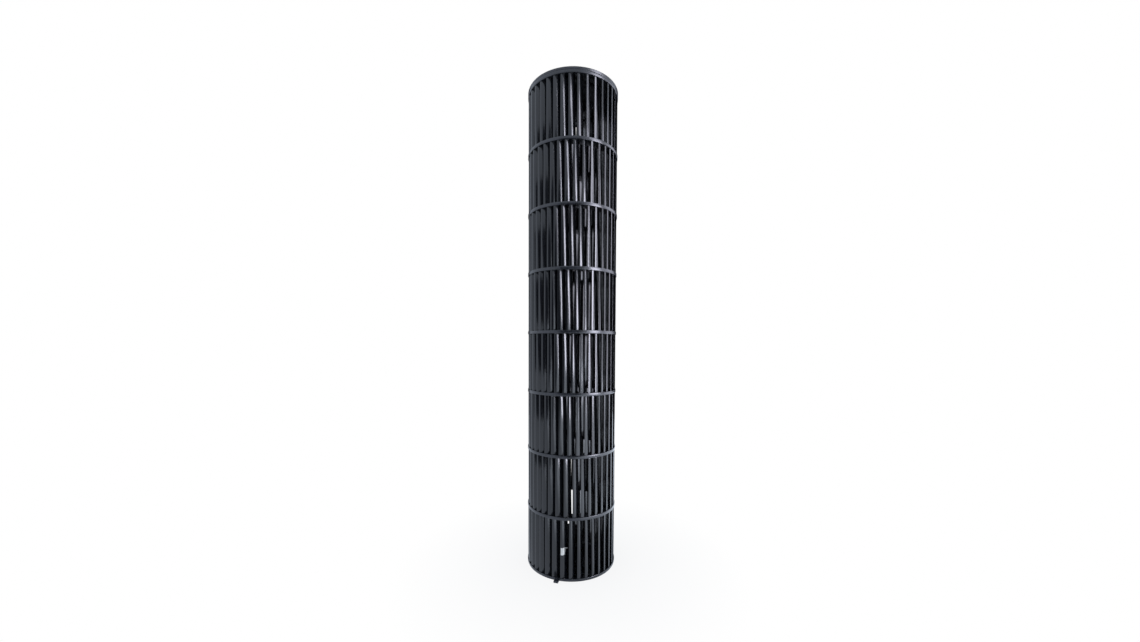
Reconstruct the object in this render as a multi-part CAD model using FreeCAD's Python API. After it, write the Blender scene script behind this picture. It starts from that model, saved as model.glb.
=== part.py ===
# Cross flow fan wheel of an indoor air conditioner, standing upright on its drive end.
# Millimetres, with +Z up the wheel's axis, the drive disc's lower face on Z = 0 and the
# photographed side towards -Y. Angles are degrees, counterclockwise from that side.

import FreeCAD, Part
import os
from math import acos, atan2, cos, degrees, hypot, pi, radians, sin

os.makedirs("parts", exist_ok=True)

# Whole wheel
wheel_length = 485.0
wheel_diameter = 92.5
segment_count = 8
rim_flats = 60
hole_flats = 30

# Ring of a blade segment
ring_thickness = 3.0
ring_lip = 1.2

# Blades of a segment
blade_count = 36
blade_depth = 8.8
blade_thickness = 1.5
blade_edge_thickness = 1.0
blade_outer_angle = 35.0
blade_setback = 0.45
blade_draft = 0.4
blade_skew = 1.4
pitch_swing = 0.9
pitch_waves = 5
stagger_angle = 4.1
first_blade_angle = -12.5
access_blade = 19

# End discs
end_disc_thickness = 2.5
dish_clearance = 0.5
dish_depth = 3.0
dish_slope_width = 3.0
rib_count = 6
rib_thickness = 1.6

# Drive end, from the motor shaft outwards
shaft_diameter = 8.0
hub_diameter = 17.0
hub_recess = 1.5
hub_end_wall = 4.0
rubber_thickness = 6.5
rubber_height = 14.0
socket_wall = 2.2
socket_rise = 1.5

# Set screw in the hub
screw_diameter = 5.0
screw_clearance = 0.1
screw_tip_gap = 0.3
screw_shank_length = 7.5
screw_head_width = 8.0
screw_head_height = 3.5
screw_head_gap = 1.5
screw_socket_width = 4.0
screw_socket_depth = 2.0

# Idle end
stub_diameter = 8.0
stub_reach = 16.0
stub_seat_diameter = 9.0
stub_seat_depth = 14.0
stub_chamfer = 0.6
boss_wall = 4.0
boss_end_wall = 2.0

# Lug on the rim of the drive disc
lug_angle = -17.0
lug_width = 4.6
lug_reach = 4.5
lug_thickness = 2.0

# Balance clip on a blade of the lowest segment
clip_sheet = 0.5
clip_leg = 3.4
clip_height = 7.0
clip_level = 29.0
clip_ear_length = 1.1
clip_ear_height = 1.6

# Values that follow from the sizes above
ORIGIN = FreeCAD.Vector(0, 0, 0)
UP = FreeCAD.Vector(0, 0, 1)
rim_radius = wheel_diameter / 2
segment_pitch = (wheel_length - 2 * end_disc_thickness) / segment_count
blade_length = segment_pitch - ring_thickness

# Mean line of a blade at the ring: an arc that meets the outer edge at blade_outer_angle
# from the tangent and the inner edge along the radius
tip_radius = rim_radius - blade_setback
root_radius = tip_radius - blade_depth
arc_radius = (tip_radius ** 2 - root_radius ** 2) / (2 * tip_radius * cos(radians(blade_outer_angle)))
centre_radius = hypot(root_radius, arc_radius)


def tip_angle(flank_radius):
    """Angle from the arc's centre to where a flank of that radius meets the tip circle."""
    squares = centre_radius ** 2 + tip_radius ** 2 - flank_radius ** 2
    return degrees(acos(squares / (2 * centre_radius * tip_radius)))


centre_angle = -tip_angle(arc_radius)
blade_wrap = centre_angle + degrees(atan2(arc_radius, root_radius))

ring_inner_radius = root_radius - ring_lip
dish_radius = ring_inner_radius * cos(pi / hole_flats) - dish_clearance
web_radius = dish_radius - dish_slope_width
hub_radius = hub_diameter / 2
rubber_radius = hub_radius + rubber_thickness
rubber_bottom = dish_depth + socket_rise
socket_radius = rubber_radius + socket_wall
socket_top = rubber_bottom + rubber_height + socket_rise
screw_level = socket_top + screw_head_gap + screw_head_width / 2 / cos(pi / 6)
hub_top = screw_level + screw_diameter / 2 + hub_end_wall
boss_radius = stub_seat_diameter / 2 + boss_wall
boss_top = dish_depth + stub_seat_depth + boss_end_wall


def polar(radius, angle, height=0.0):
    """Point at a radius and an angle around the wheel's axis."""
    turn = radians(angle)
    return FreeCAD.Vector(radius * sin(turn), -radius * cos(turn), height)


def turned(vector, angle):
    """Vector turned counterclockwise about the wheel's axis."""
    return FreeCAD.Rotation(UP, angle).multVec(vector)


def flats(radius, count, height):
    """Corners of a level outline of equal flats round the wheel's axis."""
    return [polar(radius, 360 * index / count, height) for index in range(count)]


def face_on(points):
    """Flat face inside a closed outline of points."""
    return Part.Face(Part.makePolygon(points + points[:1]))


def flat_sided(lower, upper):
    """Solid between two like outlines whose matching sides are parallel."""
    faces = [face_on(lower), face_on(upper)]
    for index in range(len(lower)):
        faces.append(face_on([lower[index - 1], lower[index], upper[index], upper[index - 1]]))
    solid = Part.Solid(Part.Shell(faces))
    return solid if solid.Volume > 0 else solid.reversed()


def tube(outer_radius, inner_radius, bottom, top):
    """Round tube on the wheel's axis."""
    foot = UP * bottom
    outer = Part.makeCylinder(outer_radius, top - bottom, foot)
    return outer.cut(Part.makeCylinder(inner_radius, top - bottom, foot))


def blade_angle(index):
    """Angle of a blade: the pitches are unequal, which spreads the wheel's tone."""
    share = index / blade_count
    return 360 * share + pitch_swing * sin(2 * pi * pitch_waves * share)


def blade_section():
    """Convex and concave flanks of a blade at the ring, from the outer edge inwards.

    The outer edge lies on the tip circle, with its middle at angle zero.
    """
    centre = polar(centre_radius, centre_angle)
    start = (polar(tip_radius, 0) - centre).normalize()
    sweep = 90 - blade_outer_angle + blade_wrap
    edge_half = blade_edge_thickness / 2
    convex = [polar(tip_radius, centre_angle + tip_angle(arc_radius + edge_half))]
    concave = [polar(tip_radius, centre_angle + tip_angle(arc_radius - edge_half))]
    for share, half in ((0.5, blade_thickness / 2), (1, edge_half)):
        direction = turned(start, share * sweep)
        convex.append(centre + direction * (arc_radius + half))
        concave.append(centre + direction * (arc_radius - half))
    return convex, concave


def section_at(height):
    """The same flanks at a height above the blade's free end.

    Mould draft makes the outline smaller towards the free end and the skew carries it
    round the wheel, so that the flanks stay flat.
    """
    convex, concave = blade_section()
    middle = (convex[0] + concave[-1]) * 0.5
    chord = (convex[0] - concave[-1]).Length
    away = 1 - height / blade_length
    scale = 1 - away * 2 * blade_draft / chord
    tangent = turned(middle, 90).normalize()
    shift = tangent * (away * blade_skew) + UP * height
    convex = [middle + (point - middle) * scale + shift for point in convex]
    concave = [middle + (point - middle) * scale + shift for point in concave]
    return convex, concave


def blade():
    """One blade, from its free end at Z = 0 up to the ring."""
    outlines = []
    for height in (0, blade_length):
        convex, concave = section_at(height)
        outlines.append(convex + concave[::-1])
    return flat_sided(*outlines)


def blade_segment(left_out=None):
    """One moulded segment: a ring with its blades hanging below it."""
    ring = flat_sided(
        flats(rim_radius, rim_flats, blade_length), flats(rim_radius, rim_flats, segment_pitch)
    )
    hole = flat_sided(
        flats(ring_inner_radius, hole_flats, blade_length),
        flats(ring_inner_radius, hole_flats, segment_pitch),
    )
    pattern = []
    for index in range(blade_count):
        if index == left_out:
            continue
        copy = blade()
        copy.rotate(ORIGIN, UP, blade_angle(index))
        pattern.append(copy)
    return ring.cut(hole).fuse(pattern).removeSplitter()


def place_in_wheel(shape, number):
    """Carry a shape from a segment's own frame to segment number 1, 2 and so on."""
    placed = shape.copy()
    placed.rotate(ORIGIN, UP, first_blade_angle + (number - 1) * stagger_angle)
    placed.translate(UP * (end_disc_thickness + (number - 1) * segment_pitch))
    return placed


def dished_disc():
    """End disc with a flat rim and a web that is dished towards the inside of the wheel."""
    rim_top = end_disc_thickness
    web_top = dish_depth + end_disc_thickness
    plate = flat_sided(flats(rim_radius, rim_flats, 0), flats(rim_radius, rim_flats, rim_top))
    dish = flat_sided(
        flats(dish_radius, hole_flats, rim_top), flats(web_radius, hole_flats, web_top)
    )
    hollow = flat_sided(
        flats(dish_radius, hole_flats, 0), flats(web_radius, hole_flats, dish_depth)
    )
    return plate.fuse(dish).cut(hollow)


def ribs(wall_radius, top):
    """Triangular ribs on the dished web, round a wall of the given outer radius."""
    root = wall_radius - rib_thickness
    foot = dish_depth + end_disc_thickness / 2
    side = rib_thickness / 2
    outline = [
        FreeCAD.Vector(-side, -root, foot),
        FreeCAD.Vector(-side, -web_radius, foot),
        FreeCAD.Vector(-side, -root, top),
    ]
    plates = []
    for index in range(rib_count):
        plate = face_on(outline).extrude(FreeCAD.Vector(rib_thickness, 0, 0))
        plate.rotate(ORIGIN, UP, (index + 0.5) * 360 / rib_count)
        plates.append(plate)
    return plates


def rim_lug():
    """Small moulded lug that stands out from the lower edge of the drive disc."""
    root = (rim_radius + dish_radius) / 2
    lug = Part.makeBox(
        lug_width, rim_radius + lug_reach - root, lug_thickness,
        FreeCAD.Vector(-lug_width / 2, -rim_radius - lug_reach, 0),
    )
    lug.rotate(ORIGIN, UP, lug_angle)
    return lug


def drive_end_disc():
    """Disc at the motor end: dished web, ribs, and the socket that holds the rubber."""
    socket = Part.makeCylinder(socket_radius, socket_top - dish_depth, UP * dish_depth)
    disc = dished_disc().fuse([socket, rim_lug()] + ribs(socket_radius, socket_top - socket_rise))
    return disc.cut(Part.makeCylinder(rubber_radius, socket_top)).removeSplitter()


def damping_rubber():
    """Rubber ring bonded between the metal hub and the socket."""
    return tube(rubber_radius, hub_radius, rubber_bottom, rubber_bottom + rubber_height)


def screw_angle():
    """Direction of the set screw: the middle of the space where a blade is left out."""
    before = blade_angle(access_blade - 1) + blade_wrap
    after = blade_angle(access_blade + 1)
    return first_blade_angle + (before + after) / 2


def shaft_hub():
    """Metal hub with the motor shaft's bore and a cross hole for the set screw."""
    hub = tube(hub_radius, shaft_diameter / 2, hub_recess, hub_top)
    hole = Part.makeCylinder(
        screw_diameter / 2, hub_diameter, UP * screw_level, polar(1, screw_angle())
    )
    return hub.cut(hole)


def hexagon_bar(width, start, length):
    """Hexagonal bar of the given width across flats, along the set screw's axis."""
    outline = [turned(FreeCAD.Vector(0, width / 2 / cos(pi / 6), 0), 60 * step) for step in range(6)]
    bar = face_on(outline).extrude(UP * length)
    bar.rotate(ORIGIN, FreeCAD.Vector(1, 0, 0), 90)
    bar.translate(FreeCAD.Vector(0, -start, screw_level))
    bar.rotate(ORIGIN, UP, screw_angle())
    return bar


def set_screw():
    """Hexagon head set screw, drawn back so that its tip clears the motor shaft."""
    tip = shaft_diameter / 2 + screw_tip_gap
    head_start = tip + screw_shank_length
    head_end = head_start + screw_head_height
    shank = Part.makeCylinder(
        screw_diameter / 2 - screw_clearance, screw_shank_length,
        polar(tip, screw_angle(), screw_level), polar(1, screw_angle()),
    )
    head = hexagon_bar(screw_head_width, head_start, screw_head_height)
    socket = hexagon_bar(screw_socket_width, head_end - screw_socket_depth, screw_socket_depth)
    return shank.fuse(head).cut(socket).removeSplitter()


def turned_over(shape):
    """Piece of the idle end, drawn with its outer face on Z = 0, set on top of the wheel."""
    shape.rotate(ORIGIN, FreeCAD.Vector(1, 0, 0), 180)
    shape.translate(UP * wheel_length)
    return shape


def idle_end_disc():
    """Disc at the idle end: dished web, ribs and a closed boss for the stub shaft."""
    boss = Part.makeCylinder(boss_radius, boss_top - dish_depth, UP * dish_depth)
    disc = dished_disc().fuse([boss] + ribs(boss_radius, boss_top - boss_end_wall))
    seat = Part.makeCylinder(stub_seat_diameter / 2, dish_depth + stub_seat_depth)
    return turned_over(disc.cut(seat).removeSplitter())


def stub_shaft():
    """Steel stub for the bearing at the idle end, with a thicker seat in the boss."""
    radius = stub_diameter / 2
    seat_end = dish_depth + stub_seat_depth
    outline = [
        FreeCAD.Vector(0, 0, -stub_reach),
        FreeCAD.Vector(radius - stub_chamfer, 0, -stub_reach),
        FreeCAD.Vector(radius, 0, stub_chamfer - stub_reach),
        FreeCAD.Vector(radius, 0, dish_depth),
        FreeCAD.Vector(stub_seat_diameter / 2, 0, dish_depth),
        FreeCAD.Vector(stub_seat_diameter / 2, 0, seat_end),
        FreeCAD.Vector(0, 0, seat_end),
    ]
    return turned_over(face_on(outline).revolve(ORIGIN, UP, 360))


def balance_clip():
    """Sheet steel clip, bent into a U and pushed over the outer edge of a blade."""
    convex, concave = section_at(clip_level - end_disc_thickness)
    foot = UP * (-clip_height / 2)
    front_run = (convex[1] - convex[0]).normalize()
    back_run = (concave[1] - concave[0]).normalize()
    gripped = [
        convex[0] + foot,
        convex[0] + front_run * clip_leg + foot,
        concave[0] + back_run * clip_leg + foot,
        concave[0] + foot,
    ]
    sleeve = Part.makePolygon(gripped + gripped[:1]).makeOffset2D(clip_sheet)
    clip = Part.Face(sleeve).extrude(UP * clip_height)
    clip = clip.fuse(clip_ear(gripped[1], front_run)).removeSplitter().cut(blade())
    return place_in_wheel(clip, 1)


def clip_ear(corner, run):
    """Ear at the top of the clip's front leg, bent away from the blade."""
    outward = run.cross(UP)
    root = corner + UP * (clip_height - clip_ear_height)
    tip = root + run * (clip_sheet + clip_ear_length) + outward * clip_ear_length / 2
    outline = [root, tip, tip + outward * clip_sheet, root + outward * clip_sheet]
    return face_on(outline).extrude(UP * clip_ear_height)


def export(shape, name):
    """Write one piece, a single solid, to its own file."""
    shape.Solids[0].exportStep("parts/" + name + ".step")


export(drive_end_disc(), "drive_end_disc")
export(damping_rubber(), "damping_rubber")
export(shaft_hub(), "shaft_hub")
export(set_screw(), "set_screw")
export(idle_end_disc(), "idle_end_disc")
export(stub_shaft(), "stub_shaft")
export(balance_clip(), "balance_clip")

# The lowest segment lacks one blade, where a key reaches the set screw
export(place_in_wheel(blade_segment(access_blade), 1), "blade_segment_1")
full_segment = blade_segment()
for number in range(2, segment_count + 1):
    export(place_in_wheel(full_segment, number), "blade_segment_" + str(number))
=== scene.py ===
# %% [markdown]
# # Cross flow fan wheel
# The wheel is the blower of an indoor air conditioner. Eight moulded segments, each a ring with
# curved blades hanging from it, are welded end on end between two end discs. The construction
# comes in as a fixed frame, and this lesson gives it its finished meshes, materials, light and
# camera. Lengths are metres, +Z runs up the wheel's axis and the photographed side faces -Y.

from math import acos, atan2, cos, degrees, hypot, pi, radians, sin

import bpy
from mathutils import Matrix, Vector


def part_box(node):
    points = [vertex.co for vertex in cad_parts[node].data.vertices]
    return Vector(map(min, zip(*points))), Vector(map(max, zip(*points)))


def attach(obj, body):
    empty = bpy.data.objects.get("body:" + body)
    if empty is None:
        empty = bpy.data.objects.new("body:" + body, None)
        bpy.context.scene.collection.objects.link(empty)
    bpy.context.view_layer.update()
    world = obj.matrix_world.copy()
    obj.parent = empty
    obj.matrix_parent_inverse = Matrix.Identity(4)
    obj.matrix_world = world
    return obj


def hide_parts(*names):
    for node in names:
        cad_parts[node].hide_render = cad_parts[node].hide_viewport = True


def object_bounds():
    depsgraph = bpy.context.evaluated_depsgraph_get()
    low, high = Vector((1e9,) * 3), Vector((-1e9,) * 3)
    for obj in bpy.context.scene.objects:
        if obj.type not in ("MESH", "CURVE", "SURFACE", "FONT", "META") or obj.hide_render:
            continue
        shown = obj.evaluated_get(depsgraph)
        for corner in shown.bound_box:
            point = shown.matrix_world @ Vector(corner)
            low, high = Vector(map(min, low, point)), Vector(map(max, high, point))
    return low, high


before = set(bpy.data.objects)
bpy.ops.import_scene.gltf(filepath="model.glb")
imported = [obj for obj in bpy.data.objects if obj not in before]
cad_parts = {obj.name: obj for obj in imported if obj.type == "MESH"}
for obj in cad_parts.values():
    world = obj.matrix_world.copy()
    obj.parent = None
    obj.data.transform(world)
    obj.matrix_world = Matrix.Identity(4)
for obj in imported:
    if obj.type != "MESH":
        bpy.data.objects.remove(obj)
cad_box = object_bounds()
MM = 0.001
rim_radius = cad_box[1].x
wheel_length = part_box("idle_end_disc")[1].z
disc_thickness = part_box("blade_segment_1")[0].z
segment_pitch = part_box("blade_segment_2")[1].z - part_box("blade_segment_1")[1].z
print("wheel", round(wheel_length, 4), "long,", round(2 * rim_radius, 4), "across")

# %% [markdown]
# ## Helpers for modelling
# An operator acts on whatever is selected, and the loaded nodes start out selected. So each
# piece begins with nothing selected, and corners, edges and faces are picked by their place. A
# piece is finished when its object sits at the origin and its place is in its mesh.

# %% Places round the axis
same_place = 0.01 * MM


def polar(radius, angle, height=0.0):
    """Point at a radius and an angle in degrees round the wheel's axis; 0 faces -Y."""
    turn = radians(angle)
    return Vector((radius * sin(turn), -radius * cos(turn), height))


def turned(vector, angle):
    """Vector turned counterclockwise about Z, in degrees."""
    return Matrix.Rotation(radians(angle), 3, "Z") @ vector


def turn_z(angle):
    """Matrix that turns counterclockwise about the wheel's axis, in degrees."""
    return Matrix.Rotation(radians(angle), 4, "Z")


# %% Add and pick
def object_mode():
    """Leave edit mode if a step before left it on."""
    if bpy.context.mode != "OBJECT":
        bpy.ops.object.mode_set(mode="OBJECT")


def added(primitive, name, stretch=(1, 1, 1), **settings):
    """Add a primitive, stretch it and put its place into its mesh."""
    object_mode()
    bpy.ops.object.select_all(action="DESELECT")
    primitive(**settings)
    piece = bpy.context.active_object
    piece.name = piece.data.name = name
    piece.scale = stretch
    bpy.ops.object.transform_apply(location=True, rotation=True, scale=True)
    return piece


def pick(piece, kind, wanted):
    """Go into edit mode with those corners, edges or faces selected whose corners all pass."""
    object_mode()
    bpy.ops.object.select_all(action="DESELECT")
    piece.select_set(True)
    bpy.context.view_layer.objects.active = piece
    bpy.ops.object.mode_set(mode="EDIT")
    bpy.ops.mesh.select_mode(type=kind)
    bpy.ops.mesh.select_all(action="DESELECT")
    bpy.ops.object.mode_set(mode="OBJECT")
    mesh = piece.data
    parts = {"VERT": mesh.vertices, "EDGE": mesh.edges, "FACE": mesh.polygons}[kind]
    for part in parts:
        corners = [part.index] if kind == "VERT" else part.vertices
        part.select = all(wanted(mesh.vertices[corner].co) for corner in corners)
    bpy.ops.object.mode_set(mode="EDIT")


def everything(point):
    """Test that every corner passes."""
    return True


# %% Finish a piece
merge_distance = 0.001 * MM
smooth_angle = 35
sharp_angle = 25


def done(piece):
    """Close a piece: merge doubles, turn its faces outwards and smooth its gentle edges."""
    pick(piece, "VERT", everything)
    bpy.ops.mesh.remove_doubles(threshold=merge_distance)
    bpy.ops.mesh.normals_make_consistent(inside=False)
    bpy.ops.object.mode_set(mode="OBJECT")
    bpy.ops.object.shade_smooth_by_angle(angle=radians(smooth_angle))
    return piece


def applied(piece, kind, **settings):
    """Add a modifier with its settings and apply it."""
    object_mode()
    modifier = piece.modifiers.new(kind.lower(), kind)
    for key, value in settings.items():
        setattr(modifier, key, value)
    bpy.context.view_layer.objects.active = piece
    bpy.ops.object.modifier_apply(modifier=modifier.name)


def rounded(piece, width, segments=2):
    """Round every edge of a piece that is sharper than a facet of a turned face."""
    applied(
        piece, "BEVEL", width=width, segments=segments,
        limit_method="ANGLE", angle_limit=radians(sharp_angle),
    )
    return piece


# %% Copy, join and hand over
def copied(piece, name, matrix=Matrix.Identity(4)):
    """Copy of a piece with its own mesh, moved by a matrix."""
    twin = piece.copy()
    twin.data = piece.data.copy()
    twin.name = twin.data.name = name
    twin.data.transform(matrix)
    bpy.context.scene.collection.objects.link(twin)
    return twin


def joined(pieces):
    """Join pieces into the first of them."""
    object_mode()
    bpy.ops.object.select_all(action="DESELECT")
    for piece in pieces:
        piece.select_set(True)
    bpy.context.view_layer.objects.active = pieces[0]
    bpy.ops.object.join()
    return pieces[0]


def removed(*pieces):
    """Take patterns that were only copied from out of the scene."""
    for piece in pieces:
        bpy.data.objects.remove(piece)


def installed(piece, node):
    """Let a finished piece stand in for a node of the construction."""
    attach(piece, "root")
    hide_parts(node)
    return piece


# %% [markdown]
# ## One blade
# A blade is a strip that curves like a shallow gutter, thicker in its middle than at its
# edges. It could be lofted through sections, but a spin needs no table of points: a plane across
# the outer edge is spun about the centre of the gutter's arc, which gives a closed bar. Each
# station of the bar is thickened, and the outer edge is turned until it follows the wheel's
# outline. Then the four long corners are rounded, and the free end is moved sideways and made a
# little smaller, because the blades are skewed and a moulding needs draft.

# %% Sizes of a blade
ring_thickness = 3.0 * MM
blade_length = segment_pitch - ring_thickness
blade_count = 36
blade_depth = 8.8 * MM
blade_thickness = 1.5 * MM
blade_edge_thickness = 1.0 * MM
blade_outer_angle = 35.0
blade_setback = 0.45 * MM
blade_draft = 0.4 * MM
blade_skew = 1.4 * MM
blade_steps = 8
tip_round = 0.2 * MM
inner_round = 0.4 * MM

tip_radius = rim_radius - blade_setback
root_radius = tip_radius - blade_depth
arc_radius = (tip_radius ** 2 - root_radius ** 2) / (
    2 * tip_radius * cos(radians(blade_outer_angle))
)
centre_radius = hypot(root_radius, arc_radius)
centre_angle = -degrees(acos(
    (centre_radius ** 2 + tip_radius ** 2 - arc_radius ** 2) / (2 * centre_radius * tip_radius)
))
blade_wrap = centre_angle + degrees(atan2(arc_radius, root_radius))
blade_sweep = 90 - blade_outer_angle + blade_wrap
arc_centre = polar(centre_radius, centre_angle)
outwards = (polar(tip_radius, 0) - arc_centre).normalized()
print("blade bent by", round(blade_sweep, 1), "degrees on", round(arc_radius / MM, 1), "mm")


# %% Places on the blade
def station(share):
    """Middle of the blade's section at a share of the way from the outer to the inner edge."""
    return arc_centre + turned(outwards, share * blade_sweep) * arc_radius


def at_station(share):
    """Test that a corner lies at that station."""
    ray = turned(outwards, share * blade_sweep)

    def wanted(point):
        spoke = Vector((point.x, point.y, 0)) - arc_centre
        return spoke.dot(ray) > 0 and abs(spoke.cross(ray).z) < same_place

    return wanted


def on_outline(point):
    """Test that a corner lies on the wheel's outline, where the blade's outer edge is."""
    return hypot(point.x, point.y) > tip_radius - 2 * same_place


def keep_upright(piece):
    """Leave only the upright edges of a selection selected."""
    bpy.ops.object.mode_set(mode="OBJECT")
    corners = piece.data.vertices
    for edge in piece.data.edges:
        first, second = (corners[index].co for index in edge.vertices)
        edge.select = edge.select and (first.xy - second.xy).length < same_place
    bpy.ops.object.mode_set(mode="EDIT")


# %% Model the blade
def bent_bar():
    """Bar of even thickness along the blade's arc."""
    piece = added(
        bpy.ops.mesh.primitive_plane_add, "blade", size=1,
        stretch=(blade_edge_thickness, blade_length, 1),
        location=station(0) + Vector((0, 0, blade_length / 2)),
        rotation=(pi / 2, 0, atan2(outwards.y, outwards.x)),
    )
    pick(piece, "VERT", everything)
    bpy.ops.mesh.spin(
        steps=blade_steps, angle=-radians(blade_sweep), center=arc_centre, axis=(0, 0, 1)
    )
    return piece


def drafted(piece):
    """Make the free end of a blade smaller and move it sideways."""
    chord = (station(0) - station(1)).length
    middle = (station(0) + station(1)) / 2
    shrink = 1 - 2 * blade_draft / chord
    pick(piece, "VERT", lambda point: point.z < same_place)
    bpy.ops.transform.resize(value=(shrink, shrink, 1), center_override=middle)
    bpy.ops.transform.translate(value=turned(middle, 90).normalized() * blade_skew)
    return piece


def blade():
    """One blade with its free end at Z = 0 and its root at the ring."""
    piece = bent_bar()
    belly = blade_thickness / blade_edge_thickness - 1
    for step in range(1, blade_steps):
        share = step / blade_steps
        stretch = 1 + belly * sin(pi * share)
        pick(piece, "VERT", at_station(share))
        bpy.ops.transform.resize(value=(stretch, stretch, 1), center_override=station(share))
    widened = 1 / sin(radians(blade_outer_angle))
    pick(piece, "VERT", at_station(0))
    bpy.ops.transform.rotate(
        value=radians(blade_outer_angle - 90), orient_axis="Z", center_override=station(0)
    )
    bpy.ops.transform.resize(value=(widened, widened, 1), center_override=station(0))
    pick(piece, "EDGE", on_outline)
    keep_upright(piece)
    bpy.ops.mesh.bevel(offset=tip_round, segments=2, affect="EDGES")
    pick(piece, "EDGE", at_station(1))
    keep_upright(piece)
    bpy.ops.mesh.bevel(offset=inner_round, segments=3, affect="EDGES")
    return drafted(piece)


# %% [markdown]
# The root of a blade runs into the ring with a small fillet, and its foot is melted onto the
# ring below, which leaves a thin bead. Each is one more cut near an end of the blade, after
# which that end is fattened and pressed flat again. That costs a few faces, where a true fillet
# would cost hundreds on each of the wheel's 287 blades.

# %% Flare the ends
root_height = 0.9 * MM
foot_height = 0.5 * MM
flare = 0.35 * MM


def flared(piece):
    """Widen the blade at its root and at its foot."""
    for cut, end in ((foot_height, 0.0), (blade_length - root_height, blade_length)):
        pick(piece, "VERT", everything)
        bpy.ops.mesh.bisect(plane_co=(0, 0, cut), plane_no=(0, 0, 1))
        pick(piece, "VERT", lambda point: abs(point.z - end) < same_place)
        bpy.ops.transform.shrink_fatten(value=flare)
        bpy.ops.transform.resize(value=(1, 1, 0), center_override=(0, 0, end))
    return done(piece)


pattern = flared(blade())
print("blade", len(pattern.data.polygons), "faces")

# %% [markdown]
# ## The ring
# The ring carries the blades and keeps them apart. It could be a disc with a hole cut in it, but
# then its edges would have to be rounded all the way round. So its section is a plane whose
# corners are rounded first, and the outline is then spun once round the axis. The seam closes
# when its doubles are merged.

# %% Model the ring
ring_lip = 1.2 * MM
ring_inner_radius = root_radius - ring_lip
ring_round = 0.25 * MM
ring_steps = 144


def ring():
    """Ring on top of a segment's blades, spun from its section on the +X side of the axis."""
    piece = added(
        bpy.ops.mesh.primitive_plane_add, "ring", size=1,
        stretch=(rim_radius - ring_inner_radius, segment_pitch - blade_length, 1),
        location=((ring_inner_radius + rim_radius) / 2, 0, (blade_length + segment_pitch) / 2),
        rotation=(pi / 2, 0, 0),
    )
    pick(piece, "VERT", everything)
    bpy.ops.mesh.bevel(offset=ring_round, segments=2, affect="VERTICES")
    pick(piece, "FACE", everything)
    bpy.ops.mesh.delete(type="ONLY_FACE")
    pick(piece, "VERT", everything)
    bpy.ops.mesh.spin(steps=ring_steps, angle=2 * pi, center=(0, 0, 0), axis=(0, 0, 1))
    return done(piece)


rim = ring()
print("ring", len(rim.data.polygons), "faces")

# %% [markdown]
# ## Eight segments
# All segments come from one mould. Its blades stand at slightly unequal pitches, which spreads
# the tone that the wheel makes. One ring and one blade are modelled. An array would set the
# blades at equal pitches, so a loop copies ring and blades into each segment, turned by its
# stagger, and joins the copies. The lowest segment lacks a blade at the back, so that a key
# reaches the set screw.

# %% Angles of the blades
segment_count = 8
pitch_swing = 0.9
pitch_waves = 5
stagger_angle = 4.1
first_blade_angle = -12.5
access_blade = 19


def blade_angle(index):
    """Angle of a blade in its segment."""
    share = index / blade_count
    return 360 * share + pitch_swing * sin(2 * pi * pitch_waves * share)


# %% Assemble the segments
def segment(number):
    """Moulding of a segment, counted from the lowest, in the place of its node."""
    node = "blade_segment_" + str(number)
    turn = first_blade_angle + (number - 1) * stagger_angle
    lift = Matrix.Translation((0, 0, disc_thickness + (number - 1) * segment_pitch))
    parts = [copied(rim, node + "_moulding", lift)]
    for index in range(blade_count):
        if number > 1 or index != access_blade:
            place = lift @ turn_z(turn + blade_angle(index))
            parts.append(copied(pattern, "blade_copy", place))
    return installed(joined(parts), node)


segments = [segment(number) for number in range(1, segment_count + 1)]
removed(pattern, rim)
print("segments", len(segments), "with", len(segments[1].data.polygons), "faces each")

# %% [markdown]
# ## The end discs
# Each end is closed by a dished disc. A turned piece starts as a circle, which is drawn out step
# by step: each step raises the edge or the cap and then scales it to the next radius. A filled
# circle becomes a closed body, and an open one becomes a ring whose last step meets its first.
# A screw modifier could turn the outline too, but this way keeps every step in edit mode.

# %% Turn an outline
def lathe(name, outline, filled, steps=ring_steps):
    """Turn an outline of radii and heights round the wheel's axis."""
    radius, height = outline[0]
    piece = added(
        bpy.ops.mesh.primitive_circle_add, name, vertices=steps, radius=radius,
        location=(0, 0, height), fill_type="NGON" if filled else "NOTHING",
    )
    pick(piece, "FACE" if filled else "EDGE", everything)
    for next_radius, next_height in outline[1:] + ([] if filled else outline[:1]):
        rise = (0, 0, next_height - height)
        growth = next_radius / radius
        bpy.ops.mesh.extrude_region_move(TRANSFORM_OT_translate={"value": rise})
        bpy.ops.transform.resize(value=(growth, growth, 1), center_override=(0, 0, next_height))
        radius, height = next_radius, next_height
    return done(piece)


# %% Sizes of the discs
# The hole of a ring has 30 flats in the construction, and the dish stays clear of them.
hole_flats = 30
dish_clearance = 0.5 * MM
dish_radius = ring_inner_radius * cos(pi / hole_flats) - dish_clearance
dish_depth = 3.0 * MM
dish_slope_width = 3.0 * MM
web_radius = dish_radius - dish_slope_width
web_top = dish_depth + disc_thickness
disc_round = 0.25 * MM
print("dish", round(dish_radius, 4), "and web", round(web_radius, 4), "in radius")

# %% Sizes of the drive end, from the motor shaft outwards
shaft_radius = 4.0 * MM
hub_radius = 8.5 * MM
hub_recess = 1.5 * MM
hub_end_wall = 4.0 * MM
rubber_thickness = 6.5 * MM
rubber_height = 14.0 * MM
socket_wall = 2.2 * MM
socket_rise = 1.5 * MM
screw_radius = 2.5 * MM
screw_head_width = 8.0 * MM
screw_head_gap = 1.5 * MM

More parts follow.
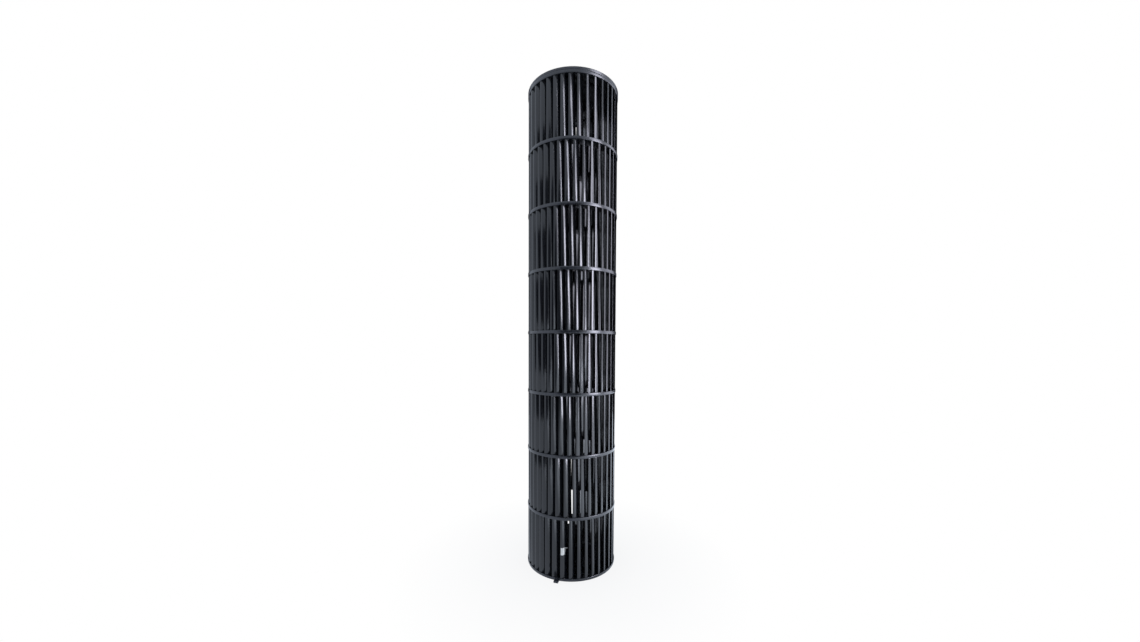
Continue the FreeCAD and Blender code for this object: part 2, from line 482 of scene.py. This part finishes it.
rubber_radius = hub_radius + rubber_thickness
rubber_bottom = dish_depth + socket_rise
rubber_top = rubber_bottom + rubber_height
socket_radius = rubber_radius + socket_wall
socket_top = rubber_top + socket_rise
screw_level = socket_top + screw_head_gap + screw_head_width / 2 / cos(pi / 6)
hub_top = screw_level + screw_radius + hub_end_wall
print("hub up to", round(hub_top, 4), "with its screw at", round(screw_level, 4))

# %% Sizes of the idle end
stub_radius = 4.0 * MM
stub_reach = 16.0 * MM
seat_radius = 4.5 * MM
seat_depth = 14.0 * MM
boss_wall = 4.0 * MM
boss_end_wall = 2.0 * MM

seat_end = dish_depth + seat_depth
boss_radius = seat_radius + boss_wall
boss_top = seat_end + boss_end_wall
print("boss", round(boss_top, 4), "high and", round(2 * boss_radius, 4), "across")

# %% [markdown]
# Six ribs brace the wall in the middle of each disc against its web. A rib is a plate whose outer
# top edge is pressed down, which leaves a triangle. The drive disc also has a lug on its rim.
# Ribs and lug are sunk a little into the disc and joined to it, because they come out of the
# same mould.

# %% Ribs
rib_count = 6
rib_thickness = 1.6 * MM
rib_rise = 0.2 * MM
rib_round = 0.2 * MM


def ribs(wall_radius, top):
    """Triangular ribs that stiffen the wall in the middle of a disc."""
    root = wall_radius - rib_thickness
    foot = dish_depth + disc_thickness / 2
    plate = added(
        bpy.ops.mesh.primitive_cube_add, "rib", size=1,
        stretch=(rib_thickness, web_radius - root, top - foot),
        location=(0, -(web_radius + root) / 2, (top + foot) / 2),
    )
    highest = top - same_place
    outermost = web_radius - same_place
    pick(plate, "VERT", lambda point: point.z > highest and -point.y > outermost)
    bpy.ops.transform.translate(value=(0, 0, web_top - top + rib_rise))
    done(rounded(plate, rib_round))
    turns = [turn_z((index + 0.5) * 360 / rib_count) for index in range(rib_count)]
    plates = [copied(plate, "rib_copy", turn) for turn in turns]
    removed(plate)
    return plates


# %% Lug on the rim
lug_angle = -17.0
lug_reach = 4.5 * MM
lug_width = 4.6 * MM
lug_thickness = 2.0 * MM
lug_round = 0.3 * MM


def rim_lug():
    """Lug on the rim of the drive disc, at the lower left of the photographed side."""
    lug_end = rim_radius + lug_reach
    lug_root = (rim_radius + dish_radius) / 2
    lug = added(
        bpy.ops.mesh.primitive_cube_add, "lug", size=1,
        stretch=(lug_width, lug_end - lug_root, lug_thickness),
        location=polar((lug_end + lug_root) / 2, lug_angle, lug_thickness / 2),
        rotation=(0, 0, radians(lug_angle)),
    )
    return done(rounded(lug, lug_round))


# %% Model the drive disc
drive_disc = lathe("drive_end_disc_moulding", [
    (rim_radius, 0), (rim_radius, disc_thickness), (dish_radius, disc_thickness),
    (web_radius, web_top), (socket_radius, web_top), (socket_radius, socket_top),
    (rubber_radius, socket_top), (rubber_radius, dish_depth), (web_radius, dish_depth),
    (dish_radius, 0),
], filled=False)
done(rounded(drive_disc, disc_round))
drive_disc = joined([drive_disc, rim_lug()] + ribs(socket_radius, rubber_top))
installed(drive_disc, "drive_end_disc")
print("drive disc", len(drive_disc.data.polygons), "faces")

# %% Model the idle disc and turn it over
idle_disc = lathe("idle_end_disc_moulding", [
    (seat_radius, seat_end), (seat_radius, dish_depth), (web_radius, dish_depth),
    (dish_radius, 0), (rim_radius, 0), (rim_radius, disc_thickness),
    (dish_radius, disc_thickness), (web_radius, web_top), (boss_radius, web_top),
    (boss_radius, boss_top),
], filled=True)
done(rounded(idle_disc, disc_round))
idle_disc = joined([idle_disc] + ribs(boss_radius, seat_end))
over = Matrix.Translation((0, 0, wheel_length)) @ Matrix.Rotation(pi, 4, "X")
idle_disc.data.transform(over)
installed(idle_disc, "idle_end_disc")
print("idle disc", len(idle_disc.data.polygons), "faces")

# %% [markdown]
# ## The drive end
# A steel hub takes the motor shaft. A rubber ring between hub and disc keeps the motor's hum
# out of the wheel, and its faces are slightly hollow, as rubber shrinks when it cures. The set
# screw goes through the hub's wall and points at the space where a blade is left out. Rubber and
# hub are turned, and the screw's hole is cut through the hub's wall by a cylinder.

# %% Rubber
rubber_hollow = 0.5 * MM
rubber_middle = (hub_radius + rubber_radius) / 2
fine_steps = 96

rubber = installed(lathe("damping_rubber_ring", [
    (hub_radius, rubber_bottom), (rubber_middle, rubber_bottom + rubber_hollow),
    (rubber_radius, rubber_bottom), (rubber_radius, rubber_top),
    (rubber_middle, rubber_top - rubber_hollow), (hub_radius, rubber_top),
], filled=False, steps=fine_steps), "damping_rubber")
print("rubber", len(rubber.data.polygons), "faces")

# %% Hub
# The space without a blade runs from the inner edge of the blade before it to the outer edge of
# the blade after it, and the screw points at its middle.
space_start = blade_angle(access_blade - 1) + blade_wrap
space_end = blade_angle(access_blade + 1)
screw_angle = first_blade_angle + (space_start + space_end) / 2
hub_chamfer = 0.5 * MM
small_steps = 48
hole_reach = hub_radius * 1.2

hub = lathe("shaft_hub_turned", [
    (shaft_radius, hub_recess), (hub_radius, hub_recess),
    (hub_radius, hub_top), (shaft_radius, hub_top),
], filled=False, steps=fine_steps)
rounded(hub, hub_chamfer, segments=1)
hole = added(
    bpy.ops.mesh.primitive_cylinder_add, "hole", vertices=small_steps, radius=screw_radius,
    depth=hole_reach, location=polar(hole_reach / 2, screw_angle, screw_level),
    rotation=(pi / 2, 0, radians(screw_angle)),
)
applied(hub, "BOOLEAN", operation="DIFFERENCE", object=hole, solver="EXACT")
removed(hole)
installed(done(hub), "shaft_hub")
print("hub", len(hub.data.polygons), "faces")

# %% [markdown]
# The screw is built upright at the origin and then laid into its hole. Its shank is turned, its
# head is a hexagonal bar with a hexagonal socket cut into it, and its thread is a triangle that
# is wound round the core, so that the crests catch the light as cut ones do.

# %% Sizes of the set screw
shank_length = 7.5 * MM
point_radius = 1.4 * MM
point_height = 0.6 * MM
head_height = 3.5 * MM
head_round = 0.25 * MM
socket_width = 4.0 * MM
socket_depth = 2.0 * MM
thread_pitch = 0.8 * MM
thread_core = 2.05 * MM
thread_ridge = 0.34 * MM
thread_turns = 8
thread_steps = 24
tip_gap = 0.3 * MM


# %% Head and thread
def hexagonal(name, width, bottom, height):
    """Upright hexagonal bar of a width across flats."""
    return added(
        bpy.ops.mesh.primitive_cylinder_add, name, vertices=6, radius=width / 2 / cos(pi / 6),
        depth=height, location=(0, 0, bottom + height / 2),
    )


def socket_head():
    """Hexagonal head with its socket."""
    head = hexagonal("head", screw_head_width, shank_length, head_height)
    socket_floor = shank_length + head_height - socket_depth
    socket = hexagonal("socket", socket_width, socket_floor, socket_depth * 2)
    applied(head, "BOOLEAN", operation="DIFFERENCE", object=socket, solver="EXACT")
    removed(socket)
    return done(rounded(head, head_round))


def thread():
    """Thread: a triangle wound round the shank."""
    ridge = added(
        bpy.ops.mesh.primitive_circle_add, "thread", vertices=3, radius=thread_ridge,
        fill_type="NOTHING", rotation=(pi / 2, 0, -pi / 2),
        location=(thread_core, 0, thread_pitch / 2),
    )
    applied(
        ridge, "SCREW", angle=2 * pi, screw_offset=thread_pitch, iterations=thread_turns,
        steps=thread_steps, render_steps=thread_steps,
    )
    pick(ridge, "EDGE", everything)
    bpy.ops.mesh.fill_holes(sides=3)
    return done(ridge)


# %% Assemble the set screw
shank = lathe("set_screw_turned", [
    (point_radius, 0), (thread_core, point_height), (thread_core, shank_length),
], filled=True, steps=small_steps)
screw = joined([shank, socket_head(), thread()])
outward = turn_z(screw_angle) @ Matrix.Rotation(pi / 2, 4, "X")
screw_foot = polar(shaft_radius + tip_gap, screw_angle, screw_level)
screw.data.transform(Matrix.Translation(screw_foot) @ outward)
installed(screw, "set_screw")
print("screw", len(screw.data.polygons), "faces")

# %% [markdown]
# ## The idle end
# The stub shaft turns in the machine's bearing. It has a lead-in chamfer, a centre hole from its
# grinding, and a thicker seat in the disc's boss. It is one more turned outline, drawn from the
# bottom of the centre hole over the shaft's end and down to the foot of the seat.

# %% Stub shaft
stub_chamfer = 0.6 * MM
seat_chamfer = 0.3 * MM
centre_hole_radius = 1.3 * MM
centre_hole_depth = 1.8 * MM
centre_hole_floor = 0.5 * MM
stub_end = wheel_length + stub_reach
seat_top = wheel_length - dish_depth
seat_foot = wheel_length - seat_end

stub = installed(lathe("stub_shaft_ground", [
    (centre_hole_floor, stub_end - centre_hole_depth), (centre_hole_radius, stub_end),
    (stub_radius - stub_chamfer, stub_end), (stub_radius, stub_end - stub_chamfer),
    (stub_radius, seat_top), (seat_radius, seat_top),
    (seat_radius, seat_foot + seat_chamfer), (seat_radius - seat_chamfer, seat_foot),
], filled=True, steps=fine_steps), "stub_shaft")
print("stub", len(stub.data.polygons), "faces")

# %% [markdown]
# ## The balance clip
# A wheel that shakes on the balancing machine gets a clip on a blade. It is a strip of spring
# steel, so it is made as a press bends one: drawn out from one edge along the blade's front
# flank, over the outer edge and back along the other flank, then thickened away from the blade.

# %% Sizes of the clip
clip_sheet = 0.5 * MM
clip_leg = 3.4 * MM
clip_height = 7.0 * MM
clip_level = 29.0 * MM
clip_bend = 0.25 * MM
clip_edge_round = 0.06 * MM
ear_length = 1.1 * MM
ear_height = 1.6 * MM


# %% Follow the blade's flanks
def carried(point, height):
    """Move a point of the section at the ring to where draft and skew take it lower down."""
    away = 1 - height / blade_length
    middle = (station(0) + station(1)) / 2
    shrink = 1 - away * 2 * blade_draft / (station(0) - station(1)).length
    shift = turned(middle, 90).normalized() * away * blade_skew
    return middle + (point - middle) * shrink + shift


def flank(side, height):
    """Outer corner and direction inwards of the convex (1) or concave (-1) flank."""
    half_land = blade_edge_thickness / 2 / sin(radians(blade_outer_angle))
    ray = turned(outwards, blade_sweep / 2)
    corner = carried(station(0) + Vector((side * half_land, 0, 0)), height)
    belly = carried(station(0.5) + ray * side * blade_thickness / 2, height)
    return corner, (belly - corner).normalized()


def near(*places):
    """Test that a corner stands over one of the places."""
    return lambda point: any((point.xy - place.xy).length < 2 * same_place for place in places)


# %% Bend the clip
def bent_strip(front, front_run, back, back_run, height):
    """Strip of no thickness along both flanks and round the outer edge between them."""
    half_run = front_run * clip_leg / 2
    last = front + half_run
    strip = added(
        bpy.ops.mesh.primitive_plane_add, "balance_clip_bent", size=1,
        stretch=(clip_leg / 2, clip_height, 1),
        location=last + half_run / 2 + Vector((0, 0, height)),
        rotation=(pi / 2, 0, atan2(front_run.y, front_run.x)),
    )
    pick(strip, "EDGE", near(last))
    for point in (front, back, back + back_run * clip_leg):
        bpy.ops.mesh.extrude_region_move(TRANSFORM_OT_translate={"value": point - last})
        last = point
    return strip


def balance_clip():
    """Bent clip on the first blade of the lowest segment."""
    height = clip_level - disc_thickness
    front, front_run = flank(1, height)
    back, back_run = flank(-1, height)
    strip = bent_strip(front, front_run, back, back_run, height)
    ear_foot = height + clip_height / 2 - ear_height
    pick(strip, "VERT", everything)
    bpy.ops.mesh.bisect(plane_co=(0, 0, ear_foot), plane_no=(0, 0, 1))
    at_end = near(front + front_run * clip_leg)
    pick(strip, "EDGE", lambda point: at_end(point) and point.z > ear_foot - same_place)
    away = front_run.cross(Vector((0, 0, 1)))
    ear = front_run * (clip_sheet + ear_length) + away * ear_length / 2
    bpy.ops.mesh.extrude_region_move(TRANSFORM_OT_translate={"value": ear})
    pick(strip, "EDGE", near(front, back))
    keep_upright(strip)
    bpy.ops.mesh.bevel(offset=clip_bend, segments=3, affect="EDGES")
    pick(strip, "VERT", everything)
    bpy.ops.mesh.normals_make_consistent(inside=False)
    applied(strip, "SOLIDIFY", thickness=clip_sheet, offset=1.0, use_even_offset=True)
    rounded(strip, clip_edge_round, segments=1)
    strip.data.transform(Matrix.Translation((0, 0, disc_thickness)) @ turn_z(first_blade_angle))
    return done(strip)


clip = installed(balance_clip(), "balance_clip")
print("clip", len(clip.data.polygons), "faces")

# %% [markdown]
# ## Materials
# One function turns a colour as it is written on screen into the linear values that the shader
# works with, and one adds a node with its settings and links. The patterns are noise over each
# piece's own coordinates, counted in cells per metre: 1000 cells a metre are a millimetre each.
# Noise seldom leaves the range from 0.3 to 0.7, so that range is spread over a pattern's tones.

# %% Colours, nodes and materials
def linear(code):
    """Linear colour of an sRGB hex code."""
    shares = [int(code[place:place + 2], 16) / 255 for place in (1, 3, 5)]
    light = [s / 12.92 if s <= 0.04045 else ((s + 0.055) / 1.055) ** 2.4 for s in shares]
    return (*light, 1.0)


def add(tree, kind, inputs=None, **settings):
    """Add a node, set its properties, and set or link its inputs."""
    node = tree.nodes.new("ShaderNode" + kind)
    for key, value in settings.items():
        setattr(node, key, value)
    for key, value in (inputs or {}).items():
        if isinstance(value, bpy.types.NodeSocket):
            tree.links.new(value, node.inputs[key])
        else:
            node.inputs[key].default_value = value
    return node


def new_material(name, **constants):
    """Material with a shader whose constant values are set on its own sockets."""
    material = bpy.data.materials.new(name)
    material.use_nodes = True
    shader = material.node_tree.nodes["Principled BSDF"]
    for key, value in constants.items():
        shader.inputs[key.replace("_", " ")].default_value = value
    return material, material.node_tree, shader


def finish_with(piece, material):
    """Give a piece one material all over."""
    piece.data.materials.clear()
    piece.data.materials.append(material)
    print(piece.name, "is", material.name)


# %% Patterns
noise_low = 0.3
noise_high = 0.7


def noise(tree, place, cells, detail=2.0):
    """Noise with that many cells per metre, or per metre along X, Y and Z."""
    if isinstance(cells, tuple):
        place = add(tree, "Mapping", {"Vector": place, "Scale": cells}).outputs["Vector"]
        cells = 1.0
    settings = {"Vector": place, "Scale": cells, "Detail": detail}
    return add(tree, "TexNoise", settings).outputs["Fac"]


def ramp(tree, share, low, high, start=noise_low, end=noise_high):
    """Colour that goes from low to high while the share goes from start to end."""
    node = add(tree, "ValToRGB", {"Fac": share})
    first, second = node.color_ramp.elements
    first.position, first.color = start, linear(low)
    second.position, second.color = end, linear(high)
    return node.outputs["Color"]


def between(tree, share, low, high, start=noise_low, end=noise_high):
    """Value that goes from low to high while the share goes from start to end."""
    inputs = {"Value": share, "From Min": start, "From Max": end, "To Min": low, "To Max": high}
    return add(tree, "MapRange", inputs).outputs["Result"]


def bumped(tree, shader, height, strength, distance):
    """Let a height texture bend the shader's normal."""
    bump = add(tree, "Bump", {"Height": height, "Strength": strength, "Distance": distance})
    tree.links.new(bump.outputs["Normal"], shader.inputs["Normal"])


# %% [markdown]
# The mouldings are styrene acrylonitrile filled with short glass fibre, near black right
# through. The eye sees a glossy skin with faint flow lines along each blade and a fine grain.
# The rims are duller than the blades and painted lighter, in patches: the lighter tone is
# painted light, standing in for the lit look of their outer faces. The flow lines are about
# 1 mm wide and 17 mm long, and the patches on the rims some 6 mm. The real grain is finer than
# the 0.4 mm drawn here, which is as coarse as it needs to be to show.

# %% Moulded plastic
flow_cells = (900, 900, 60)
grain_cells = 2500.0
# The rims' painted light comes in patches of this size, from 0.4 mm inside the rim's outline to
# its full share 0.1 mm inside.
rim_patch_cells = 180.0
rim_light_start = rim_radius - 0.4 * MM
rim_light_full = rim_radius - 0.1 * MM
rim_dulling = 0.12


def painted_rim_light(tree, place):
    """How much painted light a place gets: none inside the rims, and patches of it on them."""
    split = add(tree, "SeparateXYZ", {"Vector": place}).outputs
    flat = add(tree, "CombineXYZ", {"X": split["X"], "Y": split["Y"]}).outputs["Vector"]
    radius = add(tree, "VectorMath", {0: flat}, operation="LENGTH").outputs["Value"]
    on_rim = between(tree, radius, 0.0, 1.0, rim_light_start, rim_light_full)
    patches = noise(tree, place, rim_patch_cells, detail=4.0)
    patch_share = between(tree, patches, 0.35, 1.0, start=0.35, end=0.65)
    return add(tree, "Math", {0: on_rim, 1: patch_share}, operation="MULTIPLY").outputs["Value"]


def moulded_plastic():
    """Near black glass-filled moulding, painted lighter in patches on the rims as painted light,
    and duller there.
    """
    material, tree, shader = new_material("glass_filled_styrene", IOR=1.57)
    place = add(tree, "TexCoord").outputs["Object"]
    grain = noise(tree, place, grain_cells)
    skin = ramp(tree, noise(tree, place, flow_cells, detail=3.0), "#101215", "#181A1F")
    # Painted light: the rims' outer faces are painted a lighter tone in patches, standing in for
    # how they look where lit.
    rim_light_share = painted_rim_light(tree, place)
    tones = {"Factor": rim_light_share, "A": skin, "B": linear("#292B32")}
    colour = add(tree, "Mix", tones, data_type="RGBA").outputs["Result"]
    tree.links.new(colour, shader.inputs["Base Color"])
    smooth = between(tree, grain, 0.16, 0.23)
    gloss = add(tree, "Math", {0: rim_light_share, 1: rim_dulling, 2: smooth}, operation="MULTIPLY_ADD")
    tree.links.new(gloss.outputs["Value"], shader.inputs["Roughness"])
    bumped(tree, shader, grain, 0.12, 0.05 * MM)
    return material


plastic = moulded_plastic()
for piece in segments + [drive_disc, idle_disc]:
    finish_with(piece, plastic)

# %% [markdown]
# The rubber is nitrile, moulded against a blasted tool, so it is black and dull. It has clouds of
# 4 mm in its tone, and its pits are drawn 0.3 mm across, a little coarser than real ones.

# %% Nitrile rubber
cloud_cells = 250.0
pit_cells = 3500.0


def nitrile_rubber():
    """Dull black rubber."""
    material, tree, shader = new_material("nitrile_rubber", IOR=1.52)
    place = add(tree, "TexCoord").outputs["Object"]
    cloud = noise(tree, place, cloud_cells, detail=4.0)
    pits = noise(tree, place, pit_cells)
    tree.links.new(ramp(tree, cloud, "#101011", "#1C1C1D"), shader.inputs["Base Color"])
    tree.links.new(between(tree, cloud, 0.62, 0.8), shader.inputs["Roughness"])
    bumped(tree, shader, pits, 0.35, 0.08 * MM)
    return material


finish_with(rubber, nitrile_rubber())

# %% [markdown]
# Four steels differ in tone, gloss and the marks of how they were made. The turned hub is
# blackened and shows the lathe's rings, 0.2 mm apart. The stub shaft is ground round, which
# leaves rings of 0.1 mm. The screw has bright zinc with a cloudy bloom in cells of 1 mm, and the
# clip is rolled spring steel with a nickel flash, whose lines are 0.4 mm wide along its height.

# %% Steels
bloom_cells = 300.0


def steel(name, low, high, dull, bright, cells, relief):
    """Metal with a clouded tone and fine marks in the direction of its last working."""
    material, tree, shader = new_material(name, Metallic=1.0)
    place = add(tree, "TexCoord").outputs["Object"]
    cloud = noise(tree, place, bloom_cells, detail=3.0)
    marks = noise(tree, place, cells)
    tree.links.new(ramp(tree, cloud, low, high), shader.inputs["Base Color"])
    tree.links.new(between(tree, marks, bright, dull), shader.inputs["Roughness"])
    bumped(tree, shader, marks, relief, 0.03 * MM)
    return material


finish_with(hub, steel(
    "black_oxide_steel", "#1D1D1F", "#2C2C2F",
    dull=0.48, bright=0.34, cells=(60, 60, 5000), relief=0.3,
))
finish_with(screw, steel(
    "bright_zinc_plated_steel", "#8F959A", "#B5BABD",
    dull=0.42, bright=0.28, cells=900.0, relief=0.15,
))
finish_with(stub, steel(
    "ground_shaft_steel", "#9C9DA0", "#B4B5B8",
    dull=0.30, bright=0.18, cells=(80, 80, 9000), relief=0.1,
))
finish_with(clip, steel(
    "nickel_plated_spring_steel", "#C9C8C2", "#E2E1DC",
    dull=0.30, bright=0.16, cells=(2500, 2500, 150), relief=0.15,
))

# %% [markdown]
# ## Floor and light
# The photograph shows the wheel on a white ground. So the world shows white to the camera and
# through glass, and a cool white in reflections. The floor does the same, apart from the soft
# shadow round the wheel's foot. On its right it glows brighter in reflections alone: a painted
# sheen that stands in for the lamps a glossy floor would mirror there.

# %% Floor
floor_size = 8.0
shadow_start = 0.05
shadow_end = 0.18
shadow_glow = 0.87
painted_sheen_start = 0.02
painted_sheen_end = 0.15
painted_sheen_gain = 1.5
pure_white = linear("#FFFFFF")
cool_white = linear("#E6F0FF")


def seen_ray(tree):
    """One for rays that show a thing directly, mirrored or through glass, zero for shading."""
    path = add(tree, "LightPath").outputs
    seen = path["Is Camera Ray"]
    for ray in ("Is Glossy Ray", "Is Transmission Ray"):
        seen = add(tree, "Math", {0: seen, 1: path[ray]}, operation="MAXIMUM").outputs["Value"]
    return seen


def floor_glow(tree, place):
    """White light of the ground, cooler in reflections, with a painted sheen on its right there.
    """
    mirrored = add(tree, "LightPath").outputs["Is Glossy Ray"]
    side = add(tree, "SeparateXYZ", {"Vector": place}).outputs["X"]
    # Painted sheen: reflections see the floor's right side glow brighter, in place of mirrored
    # lamps.
    sheen = between(tree, side, 0.0, painted_sheen_gain, painted_sheen_start, painted_sheen_end)
    level = add(tree, "Math", {0: mirrored, 1: sheen, 2: 1.0}, operation="MULTIPLY_ADD")
    tones = {"Factor": mirrored, "A": pure_white, "B": cool_white}
    tint = add(tree, "Mix", tones, data_type="RGBA").outputs["Result"]
    light = {"Color": tint, "Strength": level.outputs["Value"]}
    return add(tree, "Emission", light).outputs["Emission"]


def floor_material():
    """White ground: it glows in full away from the wheel and takes shadow near it."""
    material = bpy.data.materials.new("white_ground")
    material.use_nodes = True
    tree = material.node_tree
    tree.nodes.clear()
    matt = add(tree, "BsdfDiffuse", {"Color": linear("#F0F0F0")}).outputs["BSDF"]
    place = add(tree, "TexCoord").outputs["Object"]
    away = add(tree, "VectorMath", {0: place}, operation="LENGTH").outputs["Value"]
    share = between(tree, away, shadow_glow, 1.0, shadow_start, shadow_end)
    shown = add(tree, "Math", {0: seen_ray(tree), 1: share}, operation="MULTIPLY")
    ground = {"Fac": shown.outputs["Value"], 1: matt, 2: floor_glow(tree, place)}
    add(tree, "OutputMaterial", {"Surface": add(tree, "MixShader", ground).outputs["Shader"]})
    return material


floor = added(bpy.ops.mesh.primitive_plane_add, "floor", size=floor_size)
finish_with(floor, floor_material())

# %% World
shading_level = 0.75
seen_level = 1.0


def studio():
    """World that is soft light to surfaces, white to the camera and cool white in mirrors."""
    world = bpy.data.worlds.new("studio")
    world.use_nodes = True
    tree = world.node_tree
    tree.nodes.clear()
    soft = add(tree, "Background", {"Color": cool_white, "Strength": shading_level})
    white = add(tree, "Background", {"Color": pure_white, "Strength": seen_level})
    cool = add(tree, "Background", {"Color": cool_white, "Strength": seen_level})
    mirrored = add(tree, "LightPath").outputs["Is Glossy Ray"]
    shown = add(tree, "MixShader", {
        "Fac": seen_ray(tree), 1: soft.outputs["Background"], 2: white.outputs["Background"],
    })
    light = add(tree, "MixShader", {
        "Fac": mirrored, 1: shown.outputs["Shader"], 2: cool.outputs["Background"],
    })
    add(tree, "OutputWorld", {"Surface": light.outputs["Shader"]})
    return world


bpy.context.scene.world = studio()
print("world", shading_level, "for shading and", seen_level, "where it is seen")

# %% [markdown]
# Black gloss has hardly any tone of its own: what it shows is the room. The world and a fill
# lamp shade the wheel at a plain level. Three more lamps show in reflections alone, where they
# draw the bright streaks down the blades on the right, and the fill lamp shows in none.

# %% Lamps
lamp_colour = linear("#EDEDFF")[:3]


def lamp(name, azimuth, distance, height, width, tall, power):
    """Soft rectangular lamp that looks at the wheel's middle from an angle round it."""
    place = polar(distance, azimuth, height)
    data = bpy.data.lights.new(name, "AREA")
    data.shape = "RECTANGLE"
    data.size = width
    data.size_y = tall
    data.energy = power
    data.color = lamp_colour
    light = bpy.data.objects.new(name, data)
    bpy.context.scene.collection.objects.link(light)
    light.location = place
    aim = Vector((0, 0, wheel_length / 2)) - place
    light.rotation_euler = aim.to_track_quat("-Z", "Y").to_euler()
    print("lamp", name, "of", power, "W")
    return light


key = lamp("key", azimuth=58, distance=0.74, height=0.30, width=0.34, tall=0.50, power=4.2)
strip = lamp("strip", azimuth=57, distance=0.75, height=0.50, width=0.32, tall=0.95, power=7.5)
window = lamp("window", azimuth=107, distance=0.9, height=0.45, width=0.65, tall=0.9, power=4.5)
for light in (key, strip, window):
    light.visible_diffuse = False
fill = lamp("fill", azimuth=-60, distance=1.2, height=0.6, width=0.9, tall=0.9, power=2)
fill.visible_glossy = False

# %% [markdown]
# In the photograph the middle rows are darker on the left, where their glossy flanks mirror the
# dark front of the studio, and the gaps on the right are dark where they mirror its back. Two
# dark cloths that only reflections show do the same.

# %% Dark cloths
weave_cells = 400.0


def dark_cloth():
    """Near black felt with a soft weave, drawn 2.5 mm coarse because it is only mirrored."""
    material, tree, shader = new_material("dark_cloth", Roughness=0.9)
    place = add(tree, "TexCoord").outputs["Object"]
    weave = noise(tree, place, weave_cells)
    tree.links.new(ramp(tree, weave, "#161617", "#1E1E20"), shader.inputs["Base Color"])
    return material


felt = dark_cloth()


def hang(name, width, tall, location):
    """Hang an upright cloth across the line of sight, seen in reflections alone."""
    cloth = added(
        bpy.ops.mesh.primitive_plane_add, name, size=1, stretch=(width, tall, 1),
        location=location, rotation=(pi / 2, 0, 0),
    )
    cloth.visible_camera = False
    cloth.visible_diffuse = False
    cloth.visible_shadow = False
    finish_with(cloth, felt)


hang("front_cloth", width=0.85, tall=0.6, location=(-0.12, -0.75, 0.31))
hang("back_cloth", width=2.3, tall=1.2, location=(0.50, 0.75, 0.60))

# %% [markdown]
# ## Camera
# A short lens stands close to the wheel, level with its middle and looking slightly down. That
# is what makes the upper rings arch up and the lower ones sag, as in the photograph. The shift
# only centres the wheel in the frame.

# %% Camera
camera_data = bpy.data.cameras.new("camera")
camera_data.lens = 12.485
camera_data.shift_y = 0.034
camera_data.clip_start = 0.01
camera = bpy.data.objects.new("camera", camera_data)
bpy.context.scene.collection.objects.link(camera)
camera.location = (-0.0020, -0.4196, 0.2281)
camera.rotation_euler = (radians(87.91), radians(-0.26), radians(0.01))
bpy.context.scene.camera = camera
bpy.context.scene.view_settings.view_transform = "Standard"
print("camera", round(camera.location.length, 3), "from the wheel's foot")
